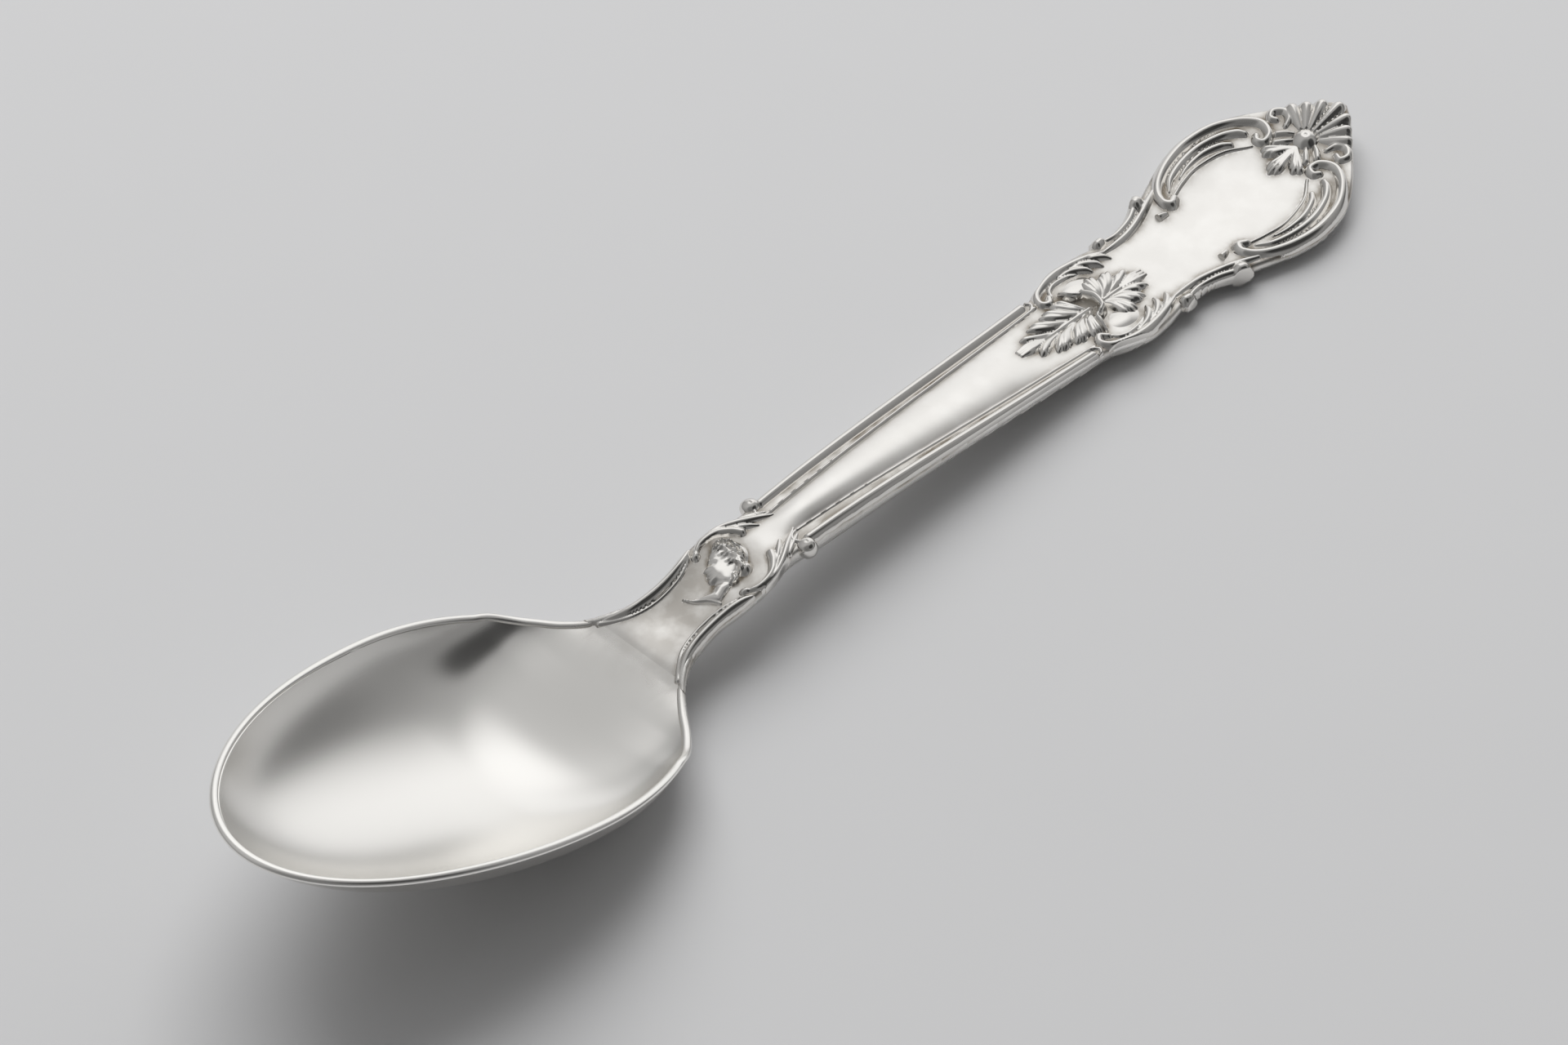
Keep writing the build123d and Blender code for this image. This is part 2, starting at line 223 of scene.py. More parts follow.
def half_width(x):
    """Half width of the whole spoon in plan."""
    reach = np.where(x < CENTRE_X, CENTRE_X - TIP_X, HEEL_X - CENTRE_X)
    ellipse = BOWL_HALF * np.sqrt(np.maximum(0.0, 1 - ((x - CENTRE_X) / reach) ** 2))
    share = ease(*SHOULDER_BLEND, x)
    return ellipse * (1 - share) + outline_at(x) * share


def reach_to_edge(turn, end_x):
    """Distance from the middle of the bowl to its edge, or to a line across the neck, at given angles."""
    farthest, halvings = 60.0, 50
    low, high = np.zeros_like(turn), np.full_like(turn, farthest)
    for halving in range(halvings):
        middle = (low + high) / 2
        x, y = CENTRE_X + middle * np.cos(turn), middle * np.sin(turn)
        inside = (np.abs(y) < half_width(x)) & (x < end_x) & (x > TIP_X)
        low, high = np.where(inside, middle, low), np.where(inside, high, middle)
    return low


class SpoonShape(bpy.types.PropertyGroup):
    """Sizes of the spoon's shapes"""

    grid: FloatProperty(
        name="Relief grid", description="Spacing of the points on the ornaments", default=0.0001,
        min=0.00005, unit="LENGTH", precision=5,
    )
    rim: FloatProperty(
        name="Rim", description="Width of the bowl's rounded rim", default=0.00085, min=0.0003,
        unit="LENGTH", precision=5,
    )
    wall: FloatProperty(
        name="Wall", description="Thickness of the bowl's floor", default=0.0011, min=0.0003,
        unit="LENGTH", precision=5,
    )
    fullness: FloatProperty(
        name="Fullness", description="How upright the bowl's walls stand at the rim", default=0.75,
        min=0.1, max=0.99, subtype="FACTOR",
    )
    trough: FloatProperty(
        name="Trough", description="Depth of the hollow along the neck", default=0.0004, unit="LENGTH",
        precision=5,
    )
    crown: FloatProperty(
        name="Crown", description="Rise of the rounded field along the stem", default=0.00055,
        unit="LENGTH", precision=5,
    )
    dish: FloatProperty(
        name="Dish", description="Depth of the smooth panel in the crest", default=0.00045, unit="LENGTH",
        precision=5,
    )


class SpoonFinish(bpy.types.PropertyGroup):
    """Colours and polish of the silver"""

    silver: FloatVectorProperty(
        name="Silver", description="Colour of clean silver", default=(0.93, 0.915, 0.885), subtype="COLOR",
        min=0.0, max=1.0,
    )
    # The tarnish colour also serves as painted shade round the neck and under the knops.
    tarnish_and_shade: FloatVectorProperty(
        name="Tarnish and shade", description="Colour of the silver in the recesses", default=(0.27, 0.23, 0.18),
        subtype="COLOR", min=0.0, max=1.0,
    )
    polish: FloatProperty(
        name="Roughness", description="Roughness of polished silver", default=0.27, subtype="FACTOR",
        min=0.0, max=1.0,
    )


class SpoonStage(bpy.types.PropertyGroup):
    """Camera, light and floor"""

    azimuth: FloatProperty(
        name="Azimuth", description="Camera's angle round the spoon", default=math.radians(-46.9),
        subtype="ANGLE",
    )
    elevation: FloatProperty(
        name="Elevation", description="Camera's angle over the table", default=math.radians(47.24),
        subtype="ANGLE",
    )
    distance: FloatProperty(
        name="Distance", description="Camera's distance from its aim", default=0.4394, unit="LENGTH",
    )
    aim: FloatVectorProperty(
        name="Aim", description="Place on the table that the camera looks at",
        default=(-0.00323, 0.00404, 0.0), subtype="TRANSLATION",
    )
    lens: FloatProperty(
        name="Lens", description="Focal length in millimetres", default=112.5, unit="CAMERA",
    )
    floor: FloatVectorProperty(
        name="Floor", description="Colour of the floor", default=(0.62, 0.62, 0.625), subtype="COLOR",
        min=0.0, max=1.0,
    )
    key: FloatProperty(
        name="Key light", description="Power of the large soft light behind the spoon", default=8.8,
        unit="POWER",
    )


def spoon_mm(length):
    """A property's length in metres as spoon millimetres."""
    return length / METRES


def to_world(points):
    """Spoon millimetres to metres in the frame."""
    return np.asarray(points, float) * METRES + np.array((NECK_X, 0.0, 0.0))


# Slope of the bowl's floor along the middle line, from the widest place over the lowest one to the neck
SETTLE_X = -14.4
RUN_OUT = ((SETTLE_X, 0.0), (-10.5, 0.24), (-6.0, 0.28), (-2.0, 0.26), (2.0, 0.2), (5.0, 0.17))
RUN_END = RUN_OUT[-1][0]


def arched(share, fullness):
    """Rise of a bowl's wall from 0 in the middle to 1 at the rim."""
    return (1 - np.sqrt(1 - (fullness * share) ** 2)) / (1 - math.sqrt(1 - fullness**2))


def middle_floor(shape, x):
    """Height of the bowl's floor on the middle line, from its widest place to the neck."""
    wall = spoon_mm(shape.wall)
    step = 0.1
    fall = float(rim_at(CENTRE_X - step) - rim_at(CENTRE_X + step)) / (2 * step)
    before = fall / (SETTLE_X - CENTRE_X) * np.maximum(0.0, SETTLE_X - x) ** 2 / 2
    places = np.linspace(SETTLE_X, RUN_END, 300)
    slope = even_line(RUN_OUT)(places)
    rise = np.concatenate([[0.0], np.cumsum((slope[1:] + slope[:-1]) / 2 * np.diff(places))])
    after = np.interp(x, places, rise) * (float(top_at(RUN_END)) - wall) / rise[-1]
    return wall + before + after


def lipped(share, fullness, lip):
    """The rise of an arch that turns up into a steeper wall under the rim."""
    return (1 - lip) * arched(share, fullness) + lip * share**LIP_POWER


def bowl_floor(shape, x, y):
    """Height of the bowl's inside."""
    rim = spoon_mm(shape.rim)
    brink = NECK_TOP + rim_at(x)
    nose = np.hypot((x - CENTRE_X) / (CENTRE_X - TIP_X - rim), y / (BOWL_HALF - rim))
    deepest = NECK_TOP + rim_at(CENTRE_X) - middle_floor(shape, np.array(CENTRE_X))
    before = brink - deepest * (1 - lipped(np.minimum(1.0, nose), shape.fullness, LIP))
    middle = middle_floor(shape, x)
    heel = np.minimum(1.0, np.abs(y) / np.maximum(1.0, half_width(x) - rim))
    lip = LIP + HEEL_LIP * window(x, CENTRE_X, -8.0, -5.0, -1.5)
    after = middle + np.maximum(0.0, brink - middle) * lipped(heel, shape.fullness, lip)
    return np.where(x < CENTRE_X, before, after)


def handle_bed(shape, x, y):
    """Height of the handle's top without its ornaments."""
    (start, narrow), (end, wide) = STEM_FIELD
    field = narrow + (wide - narrow) * (x - start) / (end - start)
    crown = spoon_mm(shape.crown) * clamp01(1 - (y / np.maximum(field, 1.0)) ** 2)
    trough = spoon_mm(shape.trough) * clamp01(1 - (y / TROUGH_HALF) ** 2)
    dish = spoon_mm(shape.dish) * clamp01(1 - (y / DISH_HALF) ** 2)
    height = top_at(x) + crown * window(x, 15.0, 21.0, 46.0, 55.0)
    return height - trough * window(x, -3.0, 2.0, 11.0, 16.0) - dish * window(x, 66.0, 74.0, 84.0, 90.0)


def top_surface(shape, x, y):
    """Height of the spoon's top without its ornaments, from the bowl's hollow to the crest."""
    share = ease(-1.0, RUN_END, x)
    return bowl_floor(shape, x, y) * (1 - share) + handle_bed(shape, x, y) * share


def new_piece(name, points, faces, node, material, cavity_and_shade):
    """A smooth mesh in the frame that stands for a CAD node."""
    mesh = bpy.data.meshes.new(name)
    mesh.from_pydata(to_world(points).tolist(), [], faces)
    mesh.validate()
    form = bmesh.new()
    form.from_mesh(mesh)
    bmesh.ops.recalc_face_normals(form, faces=form.faces)
    form.to_mesh(mesh)
    form.free()
    mesh.shade_smooth()
    mesh.set_sharp_from_angle(angle=SHARP_ANGLE)
    # The cavity attribute: tarnish depth in recesses, and painted shade round the neck and under the knops.
    depth = mesh.attributes.new("cavity_and_shade", "FLOAT", "POINT")
    depth.data.foreach_set("value", cavity_and_shade.astype(np.float32))
    piece = bpy.data.objects.new(name, mesh)
    bpy.context.scene.collection.objects.link(piece)
    mesh.materials.append(material)
    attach(piece, "root")
    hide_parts(node)
    return piece


def ring_faces(rings, around, ends):
    """Quads between neighbouring closed rings of points, and a cap over each of the end rings."""
    i, j = np.mgrid[:rings - 1, :around]
    k = (j + 1) % around
    corners = (i * around + j, i * around + k, (i + 1) * around + k, (i + 1) * around + j)
    caps = [list(range(end * around, (end + 1) * around)) for end in ends]
    return np.stack(corners, axis=-1).reshape(-1, 4).tolist() + caps


def bowl_rings(shape):
    """Rings of points over the bowl's inside, round its rim and back under it."""
    around, inside, over_rim, outside = 420, 90, 11, 70
    middle, thinning = 0.004, 6
    turns = np.linspace(-math.pi, math.pi, around, endpoint=False)
    edge = reach_to_edge(turns, JOIN_X)
    cross = edge * np.cos(turns) + CENTRE_X
    at_rim = 1 - ease(JOIN_X - 0.5, JOIN_X - 0.02, cross)
    rim = spoon_mm(shape.rim) * at_rim
    wall = spoon_mm(shape.wall)
    rings = []

    def spot(distance):
        return CENTRE_X + distance * np.cos(turns), distance * np.sin(turns)

    def inner(share):
        return top_surface(shape, *spot(share * (edge - rim)))

    def ring(distance, z):
        rings.append(np.column_stack([*spot(distance), z]))

    for share in np.sin(np.linspace(middle, 1.0, inside) * math.pi / 2):
        ring(share * (edge - rim), inner(share))
    brink = inner(1.0)
    for turn in np.linspace(0, math.pi, over_rim)[1:-1]:
        ring(edge - rim * (1 + math.cos(turn)) / 2, brink + RIM_RISE * rim * math.sin(turn))
    for share in np.sin(np.linspace(1.0, middle, outside) * math.pi / 2):
        shift = wall * np.maximum(1 - share**thinning, 1 - at_rim)
        ring(share * edge, inner(share) - shift - tongue(*spot(share * edge)))
    rings = np.array(rings)
    rings[..., 2] = np.maximum(rings[..., 2], 0.0)
    return rings


def tongue(x, y):
    """Extra thickness of the rounded drop on the back of the bowl, under the neck."""
    spread = TONGUE_HALF * np.sqrt(clamp01((x + TONGUE_LENGTH) / TONGUE_LENGTH))
    return TONGUE_RISE * ease(0.0, 0.5, 1 - np.abs(y) / np.maximum(spread, 0.05)) * ease(-8.2, -6.0, x)


def neck_painted_shade(x):
    """How strongly painted shade darkens the plain silver round the neck, and dulls it, from the bowl's heel
    to the stem.
    """
    return NECK_SHADE * window(x, -6.0, 6.0, 12.0, 17.0)


def build_bowl(shape, material):
    """The bowl: one closed shell, thickened into a drop where it carries the handle."""
    rings = bowl_rings(shape)
    count, around = rings.shape[:2]
    points = rings.reshape(-1, 3)
    faces = ring_faces(count, around, (0, count - 1))
    # The heel near the neck gets painted shade in its colour, the same as the handle's neck.
    return new_piece("bowl_shell", points, faces, "bowl", material, neck_painted_shade(points[:, 0]))


def build_handle(shape, material, relief):
    """The handle: cross-sections from the bowl to the tip, rounded underneath."""
    across, below = 72, 44
    step, tip_x, tip_stations = 0.16, 96.6, 6
    stations = np.concatenate([
        np.arange(JOIN_X - JOIN_LAP, tip_x, step), np.linspace(tip_x, HANDLE_LENGTH, tip_stations),
    ])
    round_over, round_share, roundness = 0.4, 0.6, 0.98
    thinnest, side_curve, back_curve = 0.5, 0.55, 0.62
    swing = np.linspace(-1, 1, across)
    turn = np.linspace(0, math.pi, below + 2)[1:-1]
    rim = spoon_mm(shape.rim) / 2
    sections = []
    for x in stations:
        half = float(half_width(x))
        edge = min(round_over, half * round_share)
        y = swing * half
        bead = RIM_RISE * 2 * rim * np.sqrt(clamp01(1 - ((np.abs(y) - half + rim) / rim) ** 2))
        fall = np.maximum(0.0, np.abs(y) - half + edge) / edge
        z = top_surface(shape, np.full_like(y, x), y) + bead * (1 - ease(1.0, 4.0, x))
        z = z - LAP_SINK + 2 * LAP_SINK * float(window(x, JOIN_X - JOIN_LAP, JOIN_X, JOIN_X + 0.2, 6.0))
        z = z + LAP_SINK * float(ease(JOIN_X, 6.0, x))
        z = z - edge * (1 - np.sqrt(1 - fall**2 * roundness)) * ease(0.0, 3.0, x)
        drop = max(z[-1] - float(under_at(x)), thinnest)
        low_y = half * np.sign(np.cos(turn)) * np.abs(np.cos(turn)) ** side_curve
        low_z = np.maximum(z[-1] - drop * np.sin(turn) ** back_curve, 0.0)
        section = np.concatenate([np.stack([y, z], 1), np.stack([low_y, low_z], 1)])
        sections.append(np.column_stack([np.full(len(section), x), section]))
    around = across + below
    count = len(sections)
    points = np.concatenate(sections + [sections[0], sections[-1]])
    faces = ring_faces(count, around, (count, count + 1))
    cavity_and_shade = relief.cavity_and_shade(points[:, 0], points[:, 1])
    upper = np.tile(np.arange(around) < across, count + 2)
    return new_piece("handle_body", points, faces, "handle", material, cavity_and_shade * upper)


def flowing(places, steps=9):
    """A smooth path through (x, y, half width) places."""
    places = np.array(places, float)
    if len(places) < 3:
        return places
    padded = np.concatenate([2 * places[:1] - places[1:2], places, 2 * places[-1:] - places[-2:-1]])
    t = np.linspace(0, 1, steps, endpoint=False)[:, None]
    runs = []
    for a, b, c, d in zip(padded, padded[1:], padded[2:], padded[3:]):
        square, cube = 2 * a - 5 * b + 4 * c - d, 3 * b - a - 3 * c + d
        runs.append(0.5 * (2 * b + (c - a) * t + square * t**2 + cube * t**3))
    return np.concatenate(runs + [places[-1:]])


def ridge(x, y, places, rise):
    """Height of a rounded ridge along a path; it runs on below zero outside its edges."""
    line = flowing(places)
    height = np.full(x.shape, -9.0)
    for (ax, ay, aw), (bx, by, bw) in zip(line[:-1], line[1:]):
        dx, dy = bx - ax, by - ay
        t = clamp01(((x - ax) * dx + (y - ay) * dy) / (dx * dx + dy * dy + 1e-9))
        width = np.maximum(0.06, aw + t * (bw - aw))
        gap = ((x - ax - t * dx) ** 2 + (y - ay - t * dy) ** 2) / width**2
        height = np.maximum(height, rise * width * (1 - gap))
    return height


def ridges(x, y, strokes, rise=0.95):
    """The highest of several ridges."""
    return np.maximum.reduce([ridge(x, y, places, rise) for places in strokes])


# Paths of the left-hand strokes as (x, y, half width)
NECK_REED = (
    ((-0.3, 5.15, 0.22), (0.6, 4.4, 0.36), (1.9, 3.72, 0.5), (3.4, 3.32, 0.54), (5.2, 3.13, 0.54),
     (7.2, 3.2, 0.5), (9.0, 3.52, 0.42), (10.0, 3.85, 0.2)),
    ((-0.3, 4.75, 0.3), (0.7, 3.85, 0.2), (1.9, 3.05, 0.2), (3.4, 2.58, 0.2), (5.2, 2.38, 0.2),
     (7.2, 2.5, 0.2), (8.6, 2.9, 0.2), (9.6, 3.4, 0.16)),
)
NECK_LEAF = (
    ((9.9, 2.9, 0.42), (10.1, 3.0, 0.42)),
    ((10.1, 3.1, 0.26), (11.2, 3.6, 0.36), (12.8, 3.45, 0.42), (14.0, 2.6, 0.5), (14.6, 1.75, 0.46)),
    ((11.6, 3.85, 0.24), (13.4, 3.6, 0.36), (15.0, 2.9, 0.42), (16.4, 2.1, 0.4), (18.0, 1.25, 0.16)),
    ((13.8, 3.1, 0.24), (15.2, 2.1, 0.36), (16.2, 1.3, 0.18)),
    ((15.6, 3.0, 0.22), (16.8, 2.4, 0.3), (17.8, 1.9, 0.14)),
)
STEM_REED = (((18.1, 2.95, 0.5), (30.0, 3.42, 0.56), (43.0, 3.95, 0.6), (54.9, 4.4, 0.6)),)
STEM_BEAD = (
    ((17.2, 2.7, 0.24), (17.0, 2.1, 0.24), (17.7, 1.62, 0.22), (19.5, 1.7, 0.2), (36.5, 2.65, 0.22),
     (54.2, 3.52, 0.22), (55.6, 3.75, 0.22), (56.1, 4.2, 0.22), (55.8, 4.65, 0.2)),
)
WAIST_SCROLL = (
    ((58.0, 3.6, 0.44), (57.4, 3.1, 0.48), (56.8, 3.6, 0.46), (57.3, 4.55, 0.5), (58.9, 5.2, 0.54),
     (60.9, 5.48, 0.56), (63.0, 5.3, 0.54), (65.0, 4.85, 0.48), (66.8, 4.3, 0.24)),
    ((58.4, 3.5, 0.14), (58.7, 4.2, 0.26), (59.8, 4.62, 0.3), (61.4, 4.5, 0.26), (62.4, 4.1, 0.12)),
    ((60.8, 4.95, 0.2), (62.3, 4.7, 0.44), (63.4, 4.0, 0.48), (63.8, 3.4, 0.26)),
    ((62.2, 4.95, 0.2), (63.7, 4.65, 0.46), (64.8, 3.85, 0.5), (65.1, 3.2, 0.26)),
    ((63.8, 4.9, 0.2), (65.1, 4.6, 0.42), (66.1, 3.95, 0.42), (66.5, 3.4, 0.22)),
)
SHOULDER_SCROLL = (
    ((66.4, 4.35, 0.24), (68.2, 4.3, 0.38), (70.2, 4.42, 0.46), (72.4, 4.95, 0.48), (74.6, 5.8, 0.48),
     (76.4, 6.5, 0.3)),
    ((67.0, 5.4, 0.62), (67.5, 5.45, 0.62)),
    ((67.6, 5.3, 0.3), (69.4, 5.1, 0.34), (71.6, 5.5, 0.42), (73.2, 6.2, 0.52)),
    ((73.7, 6.45, 0.95), (74.0, 6.55, 0.95)),
)
CREST_SCROLL = (
    ((77.1, 4.4, 0.54), (76.3, 4.1, 0.66), (75.9, 4.8, 0.58), (76.4, 5.9, 0.56), (77.8, 7.0, 0.6),
     (80.2, 7.95, 0.64), (83.2, 8.38, 0.66), (86.4, 7.9, 0.64), (88.7, 6.6, 0.6), (89.9, 5.2, 0.58),
     (90.1, 4.1, 0.56), (89.5, 3.05, 0.54), (88.5, 2.8, 0.52), (88.15, 3.45, 0.5), (88.6, 3.9, 0.44)),
    ((77.4, 5.3, 0.16), (78.8, 6.35, 0.4), (81.2, 7.0, 0.48), (83.8, 7.1, 0.52), (86.2, 6.5, 0.54),
     (87.6, 5.6, 0.56), (88.1, 4.9, 0.44)),
    ((79.4, 5.75, 0.12), (81.2, 6.2, 0.32), (83.4, 6.25, 0.44), (85.2, 5.7, 0.5), (86.1, 5.0, 0.42)),
)
PANEL_BEAD = (
    ((77.2, 4.6, 0.2), (79.3, 5.2, 0.24), (81.7, 5.5, 0.24), (85.0, 4.9, 0.24), (87.4, 3.4, 0.18)),
    ((75.0, 3.7, 0.34), (74.2, 3.85, 0.46), (73.2, 4.0, 0.3), (70.6, 3.7, 0.24), (68.4, 3.55, 0.22),
     (66.8, 3.5, 0.16)),
)
TIE = (
    ((59.0, 3.3, 0.2), (59.2, 2.6, 0.38), (59.6, 2.05, 0.4), (60.3, 1.7, 0.32)),
    ((60.45, 1.75, 0.44), (60.75, 0.5, 0.56), (60.35, -0.8, 0.56), (59.7, -1.2, 0.5)),
    ((59.8, -1.2, 0.42), (59.1, -1.35, 0.38), (58.8, -2.0, 0.4), (58.5, -3.0, 0.2)),
)


def lobed(base, ends, lobes):
    """Leaf lobes from a base on the middle line to their ends, on both sides: a few fingers to each lobe."""
    strokes = []
    for start, (end_x, end_y), (wide, fingers) in zip(base, ends, lobes):
        for side in (1, -1):
            for part in fingers:
                tip = (end_x + 0.8 * part, (end_y - 0.3 * part * part) * side)
                middle = (start[0] * 0.45 + tip[0] * 0.55, (start[1] * 0.62 + abs(tip[1]) * 0.38) * side)
                short = 1 - 0.16 * abs(part)
                strokes.append((
                    (start[0] + 0.1 * part, start[1] * side, 0.14 * short),
                    (*middle, wide * short),
                    ((middle[0] + 2 * tip[0]) / 3, (middle[1] + 2 * tip[1]) / 3, wide * 1.05 * short),
                    (*tip, wide * 0.45),
                ))
    return strokes


def lower_leaf():
    """The long acanthus leaf that hangs down the stem from the tie."""
    rib = [((59.7, 0.1, 0.3), (57.5, 0.1, 0.32), (54.0, 0.1, 0.26), (51.5, 0.1, 0.14))]
    tip = [
        ((53.6, 0.1, 0.16), (51.4, 0.1 + 0.3 * side, 0.46), (49.8, 0.1 + 0.32 * side, 0.2))
        for side in (1, 0, -1)
    ]
    base = ((59.5, 0.2), (58.8, 0.15), (57.2, 0.15), (55.0, 0.12))
    ends = ((57.6, 2.75), (55.9, 2.4), (53.7, 2.05), (51.4, 1.3))
    lobes = ((0.56, (-0.5, 0.5)), (0.6, (-0.8, 0, 0.7)), (0.58, (-0.8, 0, 0.7)), (0.5, (0, 0.8)))
    return rib + tip + lobed(base, ends, lobes)


def upper_leaf():
    """The shorter acanthus leaf that spreads over the panel from the tie."""
    rib = [((61.6, 0.0, 0.28), (63.5, 0.0, 0.3), (65.8, 0.0, 0.14))]
    tip = [((63.6, 0.0, 0.16), (65.6, 0.34 * side, 0.46), (67.2, 0.36 * side, 0.2)) for side in (1, 0, -1)]
    base = ((61.5, 0.3), (61.7, 0.2), (62.4, 0.2))
    ends = ((62.4, 2.95), (64.2, 2.35), (65.8, 1.45))
    lobes = ((0.56, (-0.8, 0, 0.7)), (0.58, (-0.7, 0, 0.7)), (0.5, (-0.6, 0.4)))
    return rib + tip + lobed(base, ends, lobes)


ROSETTE_X = 91.2


def palmette_petals():
    """Rounded petals that fan from the rosette to the tip, with a curl at each side."""
    start, margin, farthest, step = 1.75, 0.8, 8.0, 0.05
    petal = ((-0.12, 0.26), (0.25, 0.5), (0.62, 0.72), (0.92, 0.82), (1.0, 0.78))
    curl = (
        (91.3, 2.5, 0.3), (92.3, 2.9, 0.44), (92.7, 3.8, 0.48), (92.0, 4.6, 0.5), (91.2, 4.3, 0.46),
        (91.4, 3.7, 0.4),
    )
    strokes = []
    for turn in (0, 19, -19, 38, -38, 58, -58):
        along, across = math.cos(math.radians(turn)), math.sin(math.radians(turn))
        reach = 1.9
        while reach < farthest and abs(reach * across) < half_width(ROSETTE_X + reach * along) - margin:
            reach += step
        reach = min(reach, HANDLE_LENGTH - ROSETTE_X - margin)
        distances = [(start + (reach - start) * share, width) for share, width in petal]
        strokes.append([(ROSETTE_X + far * along, far * across, width) for far, width in distances])
    return strokes + [[(x, y * side, width) for x, y, width in curl] for side in (1, -1)]


def tuft_leaves():
    """The small leaf that hangs from the rosette over the panel, with two petals at each side."""
    root_x = 89.9
    strokes = []
    for end_x, end_y in ((85.9, 0.0), (87.2, 1.75), (87.2, -1.75)):
        for part in (-1, 0, 1):
            tip = (end_x + 0.35 * abs(part), end_y + 0.45 * part)
            strokes.append((
                (root_x, 0.1 * part, 0.18),
                (0.45 * root_x + 0.55 * tip[0], 0.62 * tip[1], 0.42),
                (0.15 * root_x + 0.85 * tip[0], 0.95 * tip[1], 0.46),
                (*tip, 0.2),
            ))
    for side in (1, -1):
        strokes.append(((90.4, 0.8 * side, 0.24), (89.7, 1.3 * side, 0.42), (89.0, 1.9 * side, 0.42)))
        strokes.append(((91.1, 1.3 * side, 0.24), (90.6, 1.9 * side, 0.42), (90.0, 2.5 * side, 0.42)))
    return strokes


def rosette_height(x, y):
    """A round boss with a small dimple."""
    gap = (x - ROSETTE_X) ** 2 + y**2
    return 0.75 * (1 - (gap / 1.7) ** 1.2) - 0.1 * np.exp(-gap / 0.04)


HEAD_AT = (11.0, 0.5)
HEAD_LEAN = math.radians(43.0)

# A plain face in profile, on equal thirds from hairline to brow, nose and chin, as (forward, up)
FACE = (
    (0.2, 2.3), (1.05, 1.75), (1.36, 1.15), (1.44, 0.55), (1.44, 0.2), (1.66, -0.28), (1.82, -0.62),
    (1.5, -0.8), (1.58, -0.98), (1.42, -1.12), (1.52, -1.26), (1.34, -1.42), (1.42, -1.64), (1.18, -1.92),
    (0.75, -1.95), (1.1, -2.7), (2.2, -3.25), (3.3, -3.35), (2.2, -3.8), (0.3, -4.05), (-0.2, -3.1),
    (-0.9, -1.9), (-1.3, -0.8), (-1.6, 0.4), (-1.1, 1.9),
)


def head_frame(x, y):
    """Places as (forward, up) in the small head's own upright frame."""
    up = (math.cos(HEAD_LEAN), math.sin(HEAD_LEAN))
    forward = (-up[1], up[0])
    dx, dy = x - HEAD_AT[0], y - HEAD_AT[1]
    return dx * forward[0] + dy * forward[1], dx * up[0] + dy * up[1]


def inset_from(f, u, corners):
    """Distance inside a closed outline, negative outside it."""
    gap = np.full(f.shape, 9.0)
    inside = np.zeros(f.shape, bool)
    for (af, au), (bf, bu) in zip(corners, corners[1:] + corners[:1]):
        df, du = bf - af, bu - au
        t = clamp01(((f - af) * df + (u - au) * du) / (df * df + du * du))
        gap = np.minimum(gap, np.hypot(f - af - t * df, u - au - t * du))
        crosses = ((au > u) != (bu > u)) & (f < af + (u - au) * df / (du if du else 1e-9))
        inside ^= crosses
    return np.where(inside, gap, -gap)


def head_height(x, y):
    """A small classical head in profile with a plain face, curled hair, a diadem and a cut neck."""
    f, u = head_frame(x, y)

    def oval(place, size, rise, lean=0.0):
        df, du = f - place[0], u - place[1]
        a = df * math.cos(lean) + du * math.sin(lean)
        b = du * math.cos(lean) - df * math.sin(lean)
        return rise * (1 - (a / size[0]) ** 2 - (b / size[1]) ** 2)

    def dent(place, size, depth):
        return depth * np.exp(-(((f - place[0]) / size[0]) ** 2) - ((u - place[1]) / size[1]) ** 2)

    depth = inset_from(f, u, FACE)
    face = np.where(depth > 0, 0.5 * (1 - np.exp(-depth / 0.32)) + 0.06, depth * 1.5)
    face = face + dent((0.7, -0.75), (0.6, 0.6), 0.08) - dent((1.05, 0.12), (0.28, 0.2), 0.16)
    face = face + dent((1.02, 0.08), (0.14, 0.1), 0.1) + dent((1.1, 0.42), (0.4, 0.1), 0.06)
    face = face - dent((1.45, -1.12), (0.3, 0.06), 0.12) - dent((0.2, -1.95), (0.7, 0.25), 0.16)
    base = ridge(f, u, ((3.5, -3.3, 0.14), (2.6, -3.6, 0.2), (1.4, -3.7, 0.22), (0.2, -4.1, 0.14)), 1.6)
    hair = oval((-0.75, 0.85), (1.4, 1.75), 0.62)
    for n in range(6):
        start = (1.0 - 0.26 * n, 1.55 - 0.36 * n)
        wave = 0.16 if n % 2 else -0.1
        lock = (
            (*start, 0.2), (start[0] - 0.6, start[1] + 0.28 + wave, 0.27),
            (start[0] - 1.3, start[1] + 0.02 - wave, 0.28), (-1.7 + 0.06 * n, 0.75 - 0.34 * n, 0.24),
        )
        hair = np.maximum(hair, ridge(f, u, lock, 2.9))
    bun = oval((-1.75, -0.45), (0.8, 0.8), 0.7) - dent((-1.75, -0.45), (0.16, 0.5), 0.14)
    curls = []
    for n in range(2):
        curl = ((-0.7 - 0.3 * n, -1.0, 0.2), (-0.9 - 0.25 * n, -1.6, 0.27), (-0.5 - 0.2 * n, -2.1, 0.16))
        curls.append(ridge(f, u, curl, 2.4))
    band = ridge(f, u, ((0.95, 2.05, 0.14), (0.1, 2.2, 0.26), (-0.85, 1.85, 0.28), (-1.65, 1.05, 0.2)), 3.6)
    teeth = 0.12 * np.cos((f * 0.85 - u * 0.5) * 13.0) * (band > 0.25)
    return np.maximum.reduce([face, base, hair, bun, band + teeth] + curls)


def stroke_height(strokes, rise=0.95):
    """A height function over a list of strokes."""
    return lambda x, y: ridges(x, y, strokes, rise)


def mirrored(height):
    """The right-hand twin of a left-hand height function."""
    return lambda x, y: height(x, -y)


def waist_height(x, y):
    """The waist scroll with the smooth eye that it holds."""
    eye = 0.26 * (1 - ((x - 61.2) / 1.7) ** 2 - ((y - 2.8) / 1.15) ** 2)
    return np.maximum(ridges(x, y, WAIST_SCROLL), eye)


